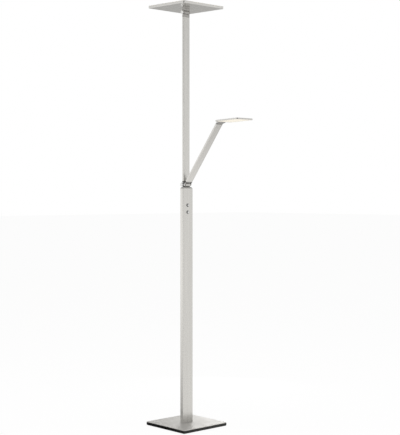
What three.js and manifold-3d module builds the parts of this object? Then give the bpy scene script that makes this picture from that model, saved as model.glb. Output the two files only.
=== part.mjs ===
// Torchiere floor lamp with a folding reading arm.
//
// Millimetres, +Z up. The origin is the centre of the base's underside. The posts' wide faces
// look towards -Y and +Y, and the reading arm leans out towards -Y, the lamp's front.
// Every tilt hinge turns about an axis along X. A positive turn carries a front edge down.

import * as THREE from 'three';
import { mergeVertices } from 'three/addons/utils/BufferGeometryUtils.js';
import Module from 'manifold-3d';

const wasm = await Module();
wasm.setup();

// ---------------------------------------------------------------- driving dimensions

const GAP = 0.3; // between neighbouring solids

const base = {
  side: 250,
  cornerRadius: 5,
  padThickness: 1.7,
  padInset: 1.5,
  weightThickness: 10,
  weightChamfer: 0.8,
  coverThickness: 2,
  coverInset: 0.3,
  coverChamfer: 0.6,
  boltSpacing: 32,
};

const lowerPost = { width: 57.8, depth: 17.6, wall: 1.5, cornerRadius: 1.6, top: 1034 };
const postCap = { rise: 6.2, endSlope: 7, faceSlope: 2.2, lip: 0.8, plugDepth: 22 };
const upperPost = {
  width: 35,
  depth: 10,
  wall: 1.2,
  cornerRadius: 1.2,
  y: 3.8,
  bottom: 1066.5,
  top: 1782,
};
const stem = { width: 26.2, depth: 5, y: 5.7, shoulder: 6.2, plugLength: 30 };

// A tilt hinge is a fixed barrel held between the two ears of a clevis.
const hinge = { width: 35, barrelWidth: 26.4, washer: 0.7, neckDepth: 5.6, bridgeGap: 0.9 };
const postHinge = { ...hinge, radius: 8, boltRadius: 2.5 };
const armHinge = { ...hinge, radius: 6.4, boltRadius: 2.5, bridgeGap: 5 };
const readingHinge = { ...hinge, radius: 5.6, boltRadius: 1.6, neckDepth: 5 };

const armPivot = { y: -5.4, z: 1051 };
const arm = { width: 35, depth: 7.4, wall: 1.2, cornerRadius: 1.2, length: 333, tilt: 38.35 };
const readingHead = {
  width: 93.5,
  length: 133,
  thickness: 6,
  cornerRadius: 6.5,
  reach: 18.5, // from the hinge axis to the rear edge
  rise: 0.3, // from the hinge axis up to the underside
  tilt: -1.6,
};

const torchierePivot = { y: upperPost.y, z: 1802.5 };
const torchiereHead = {
  side: 234,
  thickness: 10.8,
  cornerRadius: 5,
  rise: 17.5, // from the hinge axis up to the underside
  tilt: 1.3,
};

const knob = { radius: 8, thickness: 5.2, flutes: 24, fluteDepth: 0.5, shankRadius: 2 };
const button = {
  radius: 5.6,
  sleeveRadius: 6.7,
  ringRadius: 8,
  ringHeight: 1.4,
  proud: 4.2,
  upperZ: 961,
  lowerZ: 930.5,
};
const lead = { mains: 2.4, low: 1.2 };
const leadPlace = { x: 6, y: 5.3 }; // the torchiere's lead runs beside the stem's clamp screw

const ROUND = 32; // sides of a pivot bolt, a button or its ring
const SMALL = 16; // sides of a screw or a washer

const footScrew = { shankRadius: 2, length: 7, headRadius: 3.6, headHeight: 2 };
const capScrew = { shankRadius: 1.5, length: 6, headRadius: 2.8, headHeight: 1.7, x: 20, drop: 12 };
const baseBolt = { shankRadius: 4, headRadius: 6.5, headHeight: 4 };
const headScrew = { shankRadius: 2, length: 8, headRadius: 3.5, headHeight: 1.2, x: 9 };
const readingScrew = { shankRadius: 1, length: 11, headRadius: 1.6, headHeight: 1.2, x: 11 };

// ---------------------------------------------------------------- finishes

const finishes = {
  brushedNickel: { color: 0xc6c4bf, roughness: 0.38, metalness: 0.9 },
  satinNickel: { color: 0xaeaca8, roughness: 0.45, metalness: 0.9 },
  chrome: { color: 0xdcdcdc, roughness: 0.1, metalness: 1 },
  blackIron: { color: 0x1c1b1a, roughness: 0.6, metalness: 0.3 },
  darkSteel: { color: 0x3b3a38, roughness: 0.5, metalness: 0.7 },
  zincSteel: { color: 0xa5a7aa, roughness: 0.4, metalness: 0.9 },
  blackRubber: { color: 0x161616, roughness: 0.9, metalness: 0 },
  blackPlastic: { color: 0x232323, roughness: 0.6, metalness: 0 },
  nylon: { color: 0xd8d4c8, roughness: 0.6, metalness: 0 },
  circuitBoard: { color: 0x2f6b3d, roughness: 0.5, metalness: 0 },
  whiteBoard: { color: 0xf2f2ee, roughness: 0.5, metalness: 0 },
  lightGuide: { color: 0xf4f6f6, roughness: 0.1, metalness: 0 },
  diffuser: { color: 0xfff6e6, roughness: 0.45, metalness: 0 },
};

// ---------------------------------------------------------------- solids

const radians = THREE.MathUtils.degToRad;

/** A closed manifold solid of a geometry, with its faces turned outwards. */
function toSolid(geometry) {
  const bare = geometry.clone();
  bare.deleteAttribute('normal');
  bare.deleteAttribute('uv');
  const merged = mergeVertices(bare);
  const corners = merged.index.array;
  const triangles = [];
  for (let i = 0; i < corners.length; i += 3) {
    const [a, b, c] = [corners[i], corners[i + 1], corners[i + 2]];
    if (a !== b && b !== c && c !== a) triangles.push([a, b, c]);
  }
  const build = (faces) => new wasm.Manifold(new wasm.Mesh({
    numProp: 3,
    vertProperties: Float32Array.from(merged.getAttribute('position').array),
    triVerts: Uint32Array.from(faces.flat()),
  }));
  const solid = build(triangles);
  return solid.volume() > 0 ? solid : build(triangles.map(([a, b, c]) => [a, c, b]));
}

function toGeometry(solid) {
  const mesh = solid.getMesh();
  const geometry = new THREE.BufferGeometry();
  geometry.setAttribute('position', new THREE.BufferAttribute(Float32Array.from(mesh.vertProperties), 3));
  geometry.setIndex(Array.from(mesh.triVerts));
  geometry.computeVertexNormals();
  return geometry;
}

const join = (...pieces) => toGeometry(
  pieces.map(toSolid).reduce((whole, piece) => whole.add(piece)),
);
const common = (...pieces) => toGeometry(
  pieces.map(toSolid).reduce((whole, piece) => whole.intersect(piece)),
);
const cut = (body, ...tools) => toGeometry(
  tools.map(toSolid).reduce((rest, tool) => rest.subtract(tool), toSolid(body)),
);

/** An upright box, centred on x and y. */
function box(width, depth, bottom, top, x = 0, y = 0) {
  return new THREE.BoxGeometry(width, depth, top - bottom).translate(x, y, (bottom + top) / 2);
}

function roundedRectangle(width, depth, radius) {
  const [x, y] = [width / 2, depth / 2];
  const shape = new THREE.Shape();
  shape.absarc(x - radius, y - radius, radius, 0, Math.PI / 2);
  shape.absarc(radius - x, y - radius, radius, Math.PI / 2, Math.PI);
  shape.absarc(radius - x, radius - y, radius, Math.PI, 1.5 * Math.PI);
  shape.absarc(x - radius, radius - y, radius, 1.5 * Math.PI, 2 * Math.PI);
  return shape;
}

/** An upright plate with rounded corners and, where asked, a chamfer on both rims. */
function plate(width, depth, bottom, top, radius, { chamfer = 0, segments = 2, x = 0, y = 0 } = {}) {
  return new THREE.ExtrudeGeometry(roundedRectangle(width, depth, radius), {
    depth: top - bottom - 2 * chamfer,
    bevelEnabled: chamfer > 0,
    bevelThickness: chamfer,
    bevelSize: chamfer,
    bevelOffset: -chamfer,
    bevelSegments: 1,
    curveSegments: segments,
  }).translate(x, y, bottom + chamfer);
}

/** A rectangular tube standing from bottom to top. */
function rectangularTube({ width, depth, wall, cornerRadius }, bottom, top) {
  const outline = roundedRectangle(width, depth, cornerRadius);
  outline.holes.push(roundedRectangle(width - 2 * wall, depth - 2 * wall, cornerRadius / 4));
  return new THREE.ExtrudeGeometry(outline, {
    depth: top - bottom,
    bevelEnabled: false,
    curveSegments: 2,
  }).translate(0, 0, bottom);
}

/** A plug that fills a rectangular tube, less the gap. */
function tubePlug({ width, depth, wall }, bottom, top) {
  const slack = 2 * (wall + GAP);
  return plate(width - slack, depth - slack, bottom, top, 0.5, { segments: 1 });
}

/** Lays out geometry made in (y, z) and extruded, so that it runs along X, centred. */
function acrossX(shape, width, segments = 8) {
  return new THREE.ExtrudeGeometry(shape, { depth: width, bevelEnabled: false, curveSegments: segments })
    .translate(0, 0, -width / 2)
    .rotateX(Math.PI / 2)
    .rotateZ(Math.PI / 2);
}

/** Turns a geometry whose axis is +Z to point along +X, -X, +Y, -Y or -Z. */
function pointed(geometry, direction) {
  const turn = {
    '+x': () => geometry.rotateY(Math.PI / 2),
    '-x': () => geometry.rotateY(-Math.PI / 2),
    '+y': () => geometry.rotateX(-Math.PI / 2),
    '-y': () => geometry.rotateX(Math.PI / 2),
    '-z': () => geometry.rotateX(Math.PI),
    '+z': () => geometry,
  };
  return turn[direction]();
}

/** A solid of revolution about +Z from [radius, height] corners that start and end on the axis. */
function turned(profile, sides = SMALL) {
  const points = profile.map(([radius, height]) => new THREE.Vector2(radius, height));
  return new THREE.LatheGeometry(points, sides).rotateX(Math.PI / 2);
}

/** A ring of revolution about +Z from a closed loop of [radius, height] corners. */
const turnedRing = (profile, sides = SMALL) => turned([...profile, profile[0]], sides);

const cylinder = (radius, bottom, top, sides = SMALL) => turned(
  [[0, bottom], [radius, bottom], [radius, top], [0, top]],
  sides,
);

/** A rod along X between two values of x. */
const rodX = (radius, from, to, sides = SMALL) => pointed(cylinder(radius, from, to, sides), '+x');

/** A screw whose head's underside is at z = 0, with the head above it and a hexagon socket. */
function screw({ shankRadius, length, headRadius, headHeight }) {
  const blank = turned([
    [0, -length],
    [shankRadius * 0.8, -length],
    [shankRadius, shankRadius * 0.4 - length],
    [shankRadius, 0],
    [headRadius, 0],
    [headRadius, headHeight * 0.45],
    [headRadius * 0.7, headHeight],
    [0, headHeight],
  ]);
  return cut(blank, cylinder(headRadius * 0.45, headHeight * 0.4, headHeight + 1, 6));
}

/** A round lead with 8 sides that follows points. */
function leadAlong(points, radius, steps) {
  const section = new THREE.Shape();
  section.absarc(0, 0, radius, 0, 2 * Math.PI);
  const corners = points.map((point) => new THREE.Vector3(...point));
  const route = new THREE.CatmullRomCurve3(corners, false, 'centripetal');
  return new THREE.ExtrudeGeometry(section, { steps, extrudePath: route, curveSegments: 4 });
}

const straightLead = (bottom, top, x = 0, y = 0) => cylinder(lead.low, bottom, top, 8).translate(x, y, 0);

// ---------------------------------------------------------------- hinge pieces

/** Side outline of a round knuckle in (y, z) with a web of half-depth h that reaches to z = reach. */
function knuckleOutline(radius, h, reach) {
  const side = Math.sign(reach);
  const start = Math.asin(h / radius);
  const shape = new THREE.Shape();
  shape.moveTo(h, reach);
  shape.absarc(0, 0, radius, side * (Math.PI / 2 - start), side * (Math.PI / 2 + start), side > 0);
  shape.lineTo(-h, reach);
  shape.closePath();
  return shape;
}

const bolt = (kind) => kind.boltRadius + GAP;

/** The fixed barrel of a hinge, with a neck that reaches down to z = -drop. */
function hingeBarrel(kind, drop) {
  return cut(
    acrossX(knuckleOutline(kind.radius, kind.neckDepth / 2, -drop), kind.barrelWidth),
    rodX(bolt(kind), -kind.width, kind.width),
  );
}

/** The two ears of a clevis and the bridge over the barrel, up to z = top. */
function hingeClevis(kind, depth, top) {
  const inner = kind.barrelWidth / 2 + kind.washer + 2 * GAP;
  const outer = kind.width / 2;
  const ears = [-1, 1].map((side) => acrossX(
    knuckleOutline(kind.radius, Math.min(depth / 2, kind.radius * 0.9), top),
    outer - inner,
  ).translate(side * (inner + outer) / 2, 0, 0));
  const bridge = box(kind.width, depth, kind.radius + kind.bridgeGap, top);
  return cut(join(bridge, ...ears), rodX(bolt(kind), -kind.width, kind.width));
}

/** The friction washer between the barrel and one ear. */
function hingeWasher(kind, side) {
  const inner = kind.barrelWidth / 2 + GAP;
  const radius = kind.radius - 0.8;
  const ring = turnedRing([
    [bolt(kind), inner],
    [radius, inner],
    [radius, inner + kind.washer],
    [bolt(kind), inner + kind.washer],
  ]);
  return pointed(ring, side > 0 ? '+x' : '-x');
}

/** A pivot bolt along X with its flat head on the side given, and a plain end past the other ear. */
function pivotBolt(kind, { side, headRadius, headHeight, endX }) {
  const face = kind.width / 2 + GAP;
  const pin = turned([
    [0, -endX],
    [kind.boltRadius, -endX],
    [kind.boltRadius, face],
    [headRadius, face],
    [headRadius, face + headHeight * 0.6],
    [headRadius - headHeight * 0.4, face + headHeight],
    [0, face + headHeight],
  ], ROUND);
  return pointed(pin, side > 0 ? '+x' : '-x');
}

/** The domed nut on the plain end of a pivot bolt, on +X. */
function pivotNut(kind, { radius, height, boltEnd }) {
  const face = kind.width / 2 + GAP;
  const bore = kind.boltRadius + GAP;
  return pointed(turned([
    [0, boltEnd + GAP],
    [bore, boltEnd + GAP],
    [bore, face],
    [radius, face],
    [radius, face + height * 0.6],
    [radius * 0.7, face + height],
    [0, face + height],
  ]), '+x');
}

/** A fluted knob disc about X, its face looking towards -X at the given x. */
function knobDisc(faceX) {
  const outline = new THREE.Shape();
  const corners = 2 * knob.flutes;
  for (let i = 0; i < corners; i += 1) {
    const angle = (2 * Math.PI * i) / corners;
    const radius = knob.radius - (i % 2) * knob.fluteDepth;
    const [y, z] = [radius * Math.cos(angle), radius * Math.sin(angle)];
    if (i === 0) outline.moveTo(y, z);
    else outline.lineTo(y, z);
  }
  outline.closePath();
  return acrossX(outline, knob.thickness).translate(faceX + knob.thickness / 2, 0, 0);
}

// ---------------------------------------------------------------- scene graph

const lamp = new THREE.Group();

const readingArm = new THREE.Group();
readingArm.position.set(0, armPivot.y, armPivot.z);
readingArm.rotation.x = radians(arm.tilt);
lamp.add(readingArm);

const readingGroup = new THREE.Group();
readingGroup.position.set(0, 0, arm.length);
readingGroup.rotation.x = radians(readingHead.tilt - arm.tilt);
readingArm.add(readingGroup);

const torchiereGroup = new THREE.Group();
torchiereGroup.position.set(0, torchierePivot.y, torchierePivot.z);
torchiereGroup.rotation.x = radians(torchiereHead.tilt);
lamp.add(torchiereGroup);

function add(name, geometry, finish, group = lamp) {
  const mesh = new THREE.Mesh(geometry, new THREE.MeshStandardMaterial(finishes[finish]));
  mesh.name = name;
  group.add(mesh);
  return mesh;
}

const sides = { left: -1, right: 1 };

// ---------------------------------------------------------------- base

const weightBottom = base.padThickness + GAP;
const weightTop = weightBottom + base.weightThickness;
const coverTop = weightTop + GAP + base.coverThickness;
const postBottom = coverTop + GAP;

function addBase() {
  const foot = { top: 62, boltTop: 44, headSeat: weightBottom + 5, pocketSlack: 0.7 };
  const boltX = base.boltSpacing / 2;
  const bores = (radius, top) => Object.values(sides).map((side) => (
    cylinder(radius, 0, top).translate(side * boltX, 0, 0)
  ));
  const boltHoles = bores(baseBolt.shankRadius + GAP, foot.top + 1);
  const headPockets = bores(baseBolt.headRadius + foot.pocketSlack, foot.headSeat);
  const padSide = base.side - 2 * base.padInset;
  add('base_pad', plate(padSide, padSide, 0, base.padThickness, base.cornerRadius), 'blackRubber');
  add('base_weight', cut(
    plate(base.side, base.side, weightBottom, weightTop, base.cornerRadius, {
      chamfer: base.weightChamfer,
    }),
    ...boltHoles,
    ...headPockets,
  ), 'blackIron');
  const coverSide = base.side - 2 * base.coverInset;
  add('base_cover', cut(
    plate(coverSide, coverSide, weightTop + GAP, coverTop, base.cornerRadius, {
      chamfer: base.coverChamfer,
    }),
    ...boltHoles,
  ), 'brushedNickel');

  const inside = tubePlug(lowerPost, postBottom, foot.top);
  const screwZ = foot.top - 9;
  const screwHoles = Object.values(sides).map((side) => (
    pointed(cylinder(footScrew.shankRadius + GAP, 0, lowerPost.depth), '+y')
      .translate(side * boltX, 0, screwZ)
  ));
  add('post_foot_block', cut(inside, ...boltHoles, ...screwHoles), 'zincSteel');
  for (const [word, side] of Object.entries(sides)) {
    add(`base_bolt_${word}`, pointed(
      screw({ ...baseBolt, length: foot.boltTop - foot.headSeat - GAP }),
      '-z',
    ).translate(side * boltX, 0, foot.headSeat - GAP), 'zincSteel');
    add(`foot_screw_${word}`, pointed(screw(footScrew), '+y')
      .translate(side * boltX, lowerPost.depth / 2 + GAP, screwZ), 'chrome');
  }
  return { screwX: boltX, screwZ };
}

// ---------------------------------------------------------------- lower post and its controls

const grommetZ = 84;

function addLowerPost(footScrews) {
  const face = lowerPost.depth / 2;
  const innerFace = face - lowerPost.wall;
  const wallHole = (radius, direction, x, z) => (
    pointed(cylinder(radius, innerFace - 1, face + 1), direction).translate(x, 0, z)
  );
  const sleeveHole = button.sleeveRadius + GAP;
  const buttonHoles = [button.upperZ, button.lowerZ].map((z) => wallHole(sleeveHole, '-y', 0, z));
  const capScrewZ = lowerPost.top - capScrew.drop;
  const screwHoles = Object.values(sides).flatMap((side) => [
    wallHole(footScrew.shankRadius + GAP, '+y', side * footScrews.screwX, footScrews.screwZ),
    wallHole(capScrew.shankRadius + GAP, '+y', side * capScrew.x, capScrewZ),
  ]);
  const grommet = { bore: 2.8, waist: 4.6, flange: 6.6, proud: 2.2, grip: 2 };
  add('lower_post', cut(
    rectangularTube(lowerPost, postBottom, lowerPost.top),
    ...buttonHoles,
    ...screwHoles,
    wallHole(grommet.waist + GAP, '+y', 0, grommetZ),
  ), 'brushedNickel');

  add('cord_grommet', pointed(turnedRing([
    [grommet.bore, innerFace - grommet.grip],
    [grommet.flange, innerFace - grommet.grip],
    [grommet.flange, innerFace - GAP],
    [grommet.waist, innerFace - GAP],
    [grommet.waist, face + GAP],
    [grommet.flange, face + GAP],
    [grommet.flange - 0.8, face + grommet.proud],
    [grommet.bore, face + grommet.proud],
  ]), '+y').translate(0, 0, grommetZ), 'blackRubber');

  const driver = { bottom: 600, top: 760 };
  add('led_driver', plate(46, 12, driver.bottom, driver.top, 1.5, { chamfer: 0.8 }), 'blackPlastic');
  add('mains_lead', leadAlong([
    [0, innerFace - grommet.grip - 2 * GAP, grommetZ],
    [0, innerFace - 2 * grommet.grip, grommetZ],
    [0, 0.4, grommetZ + 4],
    [0, 0, grommetZ + 20],
    [0, 0, 300],
    [0, 0, driver.bottom - GAP],
  ], lead.mains, 24), 'blackPlastic');

  const board = { front: 2.9, back: 4.5, bottom: 890, top: 1000 };
  add('dimmer_board', box(
    30, board.back - board.front, board.bottom, board.top, 0, (board.front + board.back) / 2,
  ), 'circuitBoard');
  add('driver_lead', straightLead(
    driver.top + GAP, board.bottom - GAP, 0, (board.front + board.back) / 2,
  ), 'blackPlastic');
  add('torchiere_lead', straightLead(
    board.top + GAP, upperPost.top - 26, leadPlace.x, leadPlace.y,
  ), 'blackPlastic');

  const body = { side: 12, front: -3.2, back: board.front - GAP };
  const plunger = { radius: 1.5, inner: 2, flangeRadius: 6.3, flangeInner: 5.1, flangeOuter: 6 };
  const sleeve = { inner: button.radius + GAP, end: innerFace - 0.8 };
  for (const [word, z] of [['torchiere', button.upperZ], ['reading', button.lowerZ]]) {
    const half = body.side / 2;
    add(`${word}_switch`, cut(
      box(body.side, body.back - body.front, z - half, z + half, 0, (body.back + body.front) / 2),
      pointed(cylinder(plunger.radius + 0.4, 0, 4), '-y').translate(0, 0, z),
    ), 'blackPlastic');
    add(`${word}_button_ring`, pointed(turnedRing([
      [sleeve.inner, sleeve.end],
      [button.sleeveRadius, sleeve.end],
      [button.sleeveRadius, face + GAP],
      [button.ringRadius, face + GAP],
      [button.ringRadius - 0.4, face + button.ringHeight * 0.8],
      [button.ringRadius - 1.2, face + button.ringHeight],
      [sleeve.inner + 0.3, face + button.ringHeight * 0.8],
      [sleeve.inner, face + button.ringHeight * 0.5],
    ], ROUND), '-y').translate(0, 0, z), 'chrome');
    add(`${word}_button`, pointed(turned([
      [0, plunger.inner],
      [plunger.radius, plunger.inner],
      [plunger.radius, plunger.flangeInner],
      [plunger.flangeRadius, plunger.flangeInner],
      [plunger.flangeRadius, plunger.flangeOuter],
      [button.radius, plunger.flangeOuter],
      [button.radius, face + button.proud - 1.2],
      [button.radius * 0.85, face + button.proud - 0.4],
      [button.radius * 0.5, face + button.proud],
      [0, face + button.proud],
    ], ROUND), '-y').translate(0, 0, z), 'chrome');
  }
}

// ---------------------------------------------------------------- cap, stem and upper post

const capTop = lowerPost.top + GAP + postCap.rise;
const leadHole = (bottom, top) => (
  cylinder(lead.low + GAP, bottom, top, 12).translate(leadPlace.x, leadPlace.y, 0)
);

/** The cap's top slopes in steeply at front and back and gently at both ends. */
function capTopBlock() {
  const [x, y] = [lowerPost.width / 2, lowerPost.depth / 2];
  const [bottom, edge] = [lowerPost.top + GAP, lowerPost.top + GAP + postCap.lip];
  const outline = (half, inset) => {
    const shape = new THREE.Shape();
    shape.moveTo(-half, bottom);
    shape.lineTo(half, bottom);
    shape.lineTo(half, edge);
    shape.lineTo(half - inset, capTop);
    shape.lineTo(inset - half, capTop);
    shape.lineTo(-half, edge);
    shape.closePath();
    return shape;
  };
  const lengthwise = acrossX(outline(y, postCap.faceSlope), lowerPost.width);
  const crosswise = acrossX(outline(x, postCap.endSlope), lowerPost.depth).rotateZ(Math.PI / 2);
  const corners = plate(lowerPost.width, lowerPost.depth, bottom, capTop, lowerPost.cornerRadius);
  return common(lengthwise, crosswise, corners);
}

function addCapAndStem() {
  const lug = { inner: stem.width / 2 + GAP, outer: upperPost.width / 2, top: armPivot.z + 7 };
  const lugs = Object.values(sides).map((side) => plate(
    lug.outer - lug.inner, stem.depth, capTop - 1, lug.top, 1,
  ).translate(side * (lug.inner + lug.outer) / 2, stem.y, 0));
  const capPlug = tubePlug(lowerPost, lowerPost.top - postCap.plugDepth, lowerPost.top + 1);
  const screwZ = lowerPost.top - capScrew.drop;
  const screwHoles = Object.values(sides).map((side) => (
    pointed(cylinder(capScrew.shankRadius + GAP, 0, lowerPost.depth), '+y')
      .translate(side * capScrew.x, 0, screwZ)
  ));
  const barrelScrew = {
    y: armPivot.y + 0.4,
    radius: 1.25,
    headRadius: 1.9,
    head: lowerPost.top - 6,
    top: capTop + 6,
  };
  const barrelBore = (radius, bottom, top) => (
    cylinder(radius + GAP, bottom, top).translate(0, barrelScrew.y, 0)
  );
  const barrelScrewHole = barrelBore(barrelScrew.radius, barrelScrew.head - 1, barrelScrew.top);
  const barrelScrewPocket = barrelBore(barrelScrew.headRadius, lowerPost.top - 40, barrelScrew.head);
  const clampHole = (from, to) => rodX(knob.shankRadius + GAP, from, to).translate(0, stem.y, armPivot.z);
  add('lower_post_cap', cut(
    join(capPlug, capTopBlock(), ...lugs),
    ...screwHoles,
    leadHole(lowerPost.top - 40, capTop + 1),
    clampHole(-20, -10),
    barrelScrewHole,
    barrelScrewPocket,
  ), 'brushedNickel');
  add('barrel_screw', pointed(screw({
    shankRadius: barrelScrew.radius,
    length: barrelScrew.top - barrelScrew.head - 1,
    headRadius: barrelScrew.headRadius,
    headHeight: 2,
  }), '-z').translate(0, barrelScrew.y, barrelScrew.head - GAP), 'zincSteel');
  for (const [word, side] of Object.entries(sides)) {
    add(`cap_screw_${word}`, pointed(screw(capScrew), '+y')
      .translate(side * capScrew.x, lowerPost.depth / 2 + GAP, screwZ), 'chrome');
  }

  const drop = armPivot.z - capTop - GAP;
  const barrel = hingeBarrel(armHinge, drop).translate(0, armPivot.y, armPivot.z);
  add('arm_hinge_barrel', cut(barrel, barrelScrewHole), 'satinNickel');

  const shoulderTop = upperPost.bottom - GAP;
  const shoulderBottom = shoulderTop - stem.shoulder;
  const blade = box(stem.width, stem.depth, capTop + GAP, shoulderTop, 0, stem.y);
  const shoulder = plate(
    upperPost.width,
    upperPost.depth,
    shoulderBottom,
    shoulderTop,
    upperPost.cornerRadius,
    { y: upperPost.y },
  );
  const plug = tubePlug(upperPost, shoulderTop - 1, shoulderTop + stem.plugLength)
    .translate(0, upperPost.y, 0);
  add('post_stem', cut(
    join(blade, shoulder, plug),
    leadHole(capTop, shoulderTop + stem.plugLength + 1),
    clampHole(-20, -4),
  ), 'darkSteel');

  const clamp = { faceX: -24.8, shankEnd: -5, collarRadius: 2.8 };
  const discBack = clamp.faceX + knob.thickness;
  const shank = rodX(knob.shankRadius, discBack - 1, clamp.shankEnd);
  const collar = rodX(clamp.collarRadius, discBack - 1, -lug.outer - GAP);
  add('post_clamp_knob', join(knobDisc(clamp.faceX), collar, shank)
    .translate(0, stem.y, armPivot.z), 'chrome');
}

function addUpperPost() {
  const tube = rectangularTube(upperPost, upperPost.bottom, upperPost.top).translate(0, upperPost.y, 0);
  add('upper_post', tube, 'brushedNickel');
  const block = { bottom: upperPost.top + GAP, top: torchierePivot.z - postHinge.radius - 1 };
  const plug = tubePlug(upperPost, upperPost.top - 25, block.bottom + 1).translate(0, upperPost.y, 0);
  const head = plate(
    upperPost.width, upperPost.depth, block.bottom, block.top, upperPost.cornerRadius, { y: upperPost.y },
  );
  const barrel = hingeBarrel(postHinge, torchierePivot.z - block.top + 1)
    .translate(0, torchierePivot.y, torchierePivot.z);
  add('upper_post_top', join(plug, head, barrel), 'satinNickel');
}

// ---------------------------------------------------------------- torchiere head

function addTorchiereHead() {
  const { side, thickness, cornerRadius, rise } = torchiereHead;
  const [floor, wall, frameHeight, frameLip] = [1.5, 2, 1.2, 8];
  const top = rise + thickness;
  const hole = headScrew.shankRadius + GAP;
  const screwHoles = (radius, bottom, upper) => Object.values(sides).map((sign) => (
    cylinder(radius, bottom, upper).translate(sign * headScrew.x, 0, 0)
  ));
  add('head_bracket', cut(
    hingeClevis(postHinge, upperPost.depth, rise - GAP),
    ...screwHoles(hole, postHinge.radius, rise + 1),
  ), 'satinNickel', torchiereGroup);
  const topKnob = { faceX: -24.6, collarRadius: 5, boltEnd: 22 };
  add('top_pivot_bolt', pivotBolt(
    postHinge, { side: 1, headRadius: 4.6, headHeight: 1.2, endX: topKnob.boltEnd },
  ), 'chrome', torchiereGroup);
  add('torchiere_knob', cut(
    join(
      knobDisc(topKnob.faceX),
      rodX(topKnob.collarRadius, topKnob.faceX + knob.thickness - 1, -postHinge.width / 2 - GAP),
    ),
    rodX(bolt(postHinge), -topKnob.boltEnd - GAP, 0),
  ), 'chrome', torchiereGroup);

  const trayTop = top - frameHeight - GAP;
  const inner = side - 2 * wall;
  add('head_tray', cut(
    plate(side, side, rise, trayTop, cornerRadius, { chamfer: 0.5 }),
    plate(inner, inner, rise + floor, trayTop + 1, cornerRadius - wall),
    ...screwHoles(hole, rise - 1, rise + floor + 1),
  ), 'brushedNickel', torchiereGroup);
  const board = { bottom: rise + floor + GAP, top: rise + floor + GAP + 1.2 };
  const guide = { bottom: board.top + GAP, top: board.top + GAP + 4 };
  const layer = inner - 2 * GAP;
  add('head_led_board', cut(
    plate(layer, layer, board.bottom, board.top, cornerRadius - wall),
    ...screwHoles(headScrew.headRadius + 0.5, board.bottom - 1, board.top + 1),
  ), 'whiteBoard', torchiereGroup);
  for (const [word, sign] of Object.entries(sides)) {
    const place = [sign * headScrew.x, 0, board.bottom];
    add(`head_screw_${word}`, screw(headScrew).translate(...place), 'zincSteel', torchiereGroup);
  }
  add('head_light_guide', plate(
    layer, layer, guide.bottom, guide.top, cornerRadius - wall,
  ), 'lightGuide', torchiereGroup);
  add('head_diffuser', plate(
    layer, layer, guide.top + GAP, trayTop, cornerRadius - wall,
  ), 'diffuser', torchiereGroup);
  const opening = side - 2 * frameLip;
  add('head_frame', cut(
    plate(side, side, trayTop + GAP, top, cornerRadius, { chamfer: 0.4 }),
    plate(opening, opening, trayTop, top + 1, 2),
  ), 'brushedNickel', torchiereGroup);
}

// ---------------------------------------------------------------- reading arm and head

function addReadingArm() {
  const clevisTop = 17;
  const tubeBottom = clevisTop + GAP;
  const plugLength = 24;
  const channel = (bottom, top) => cylinder(lead.low + GAP, bottom, top, 12);
  add('arm_clevis', cut(
    join(
      hingeClevis(armHinge, arm.depth, clevisTop),
      tubePlug(arm, clevisTop - 1, clevisTop + plugLength),
    ),
    channel(armHinge.radius, clevisTop + plugLength + 1),
  ), 'darkSteel', readingArm);
  const boltEnd = armHinge.width / 2 + 2.4;
  add('arm_pivot_bolt', pivotBolt(
    armHinge, { side: -1, headRadius: 5.6, headHeight: 1.4, endX: boltEnd },
  ), 'chrome', readingArm);
  add('arm_pivot_nut', pivotNut(armHinge, { radius: 5, height: 4, boltEnd }), 'chrome', readingArm);

  const tubeTop = arm.length - readingHinge.radius - 3;
  add('arm_tube', rectangularTube(arm, tubeBottom, tubeTop), 'brushedNickel', readingArm);
  const block = { bottom: tubeTop + GAP, top: arm.length - readingHinge.radius - 1 };
  const barrel = hingeBarrel(readingHinge, arm.length - block.top + 0.5).translate(0, 0, arm.length);
  add('arm_end_barrel', cut(
    join(
      tubePlug(arm, tubeTop - plugLength, block.bottom + 1),
      plate(arm.width, arm.depth, block.bottom, block.top, arm.cornerRadius),
      barrel,
    ),
    channel(tubeTop - plugLength - 1, tubeTop - 4),
  ), 'satinNickel', readingArm);
  add('reading_lead', straightLead(clevisTop, tubeTop - 5), 'blackPlastic', readingArm);
}

const readingBracket = { depth: 6, reach: 9, kneeY: -11, inset: 0.3 };

/** The wedge that carries the reading head, as a side outline in (y, z). */
function readingWedge(rearWallY) {
  const near = -(readingHinge.radius + readingHinge.bridgeGap);
  const half = readingBracket.depth / 2;
  const shape = new THREE.Shape();
  shape.moveTo(near, -half);
  shape.lineTo(near, half);
  shape.lineTo(rearWallY, readingHead.rise + readingHead.thickness - readingBracket.inset);
  shape.lineTo(rearWallY, readingHead.rise + readingBracket.inset);
  shape.lineTo(readingBracket.kneeY, -half);
  shape.closePath();
  return shape;
}

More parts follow.
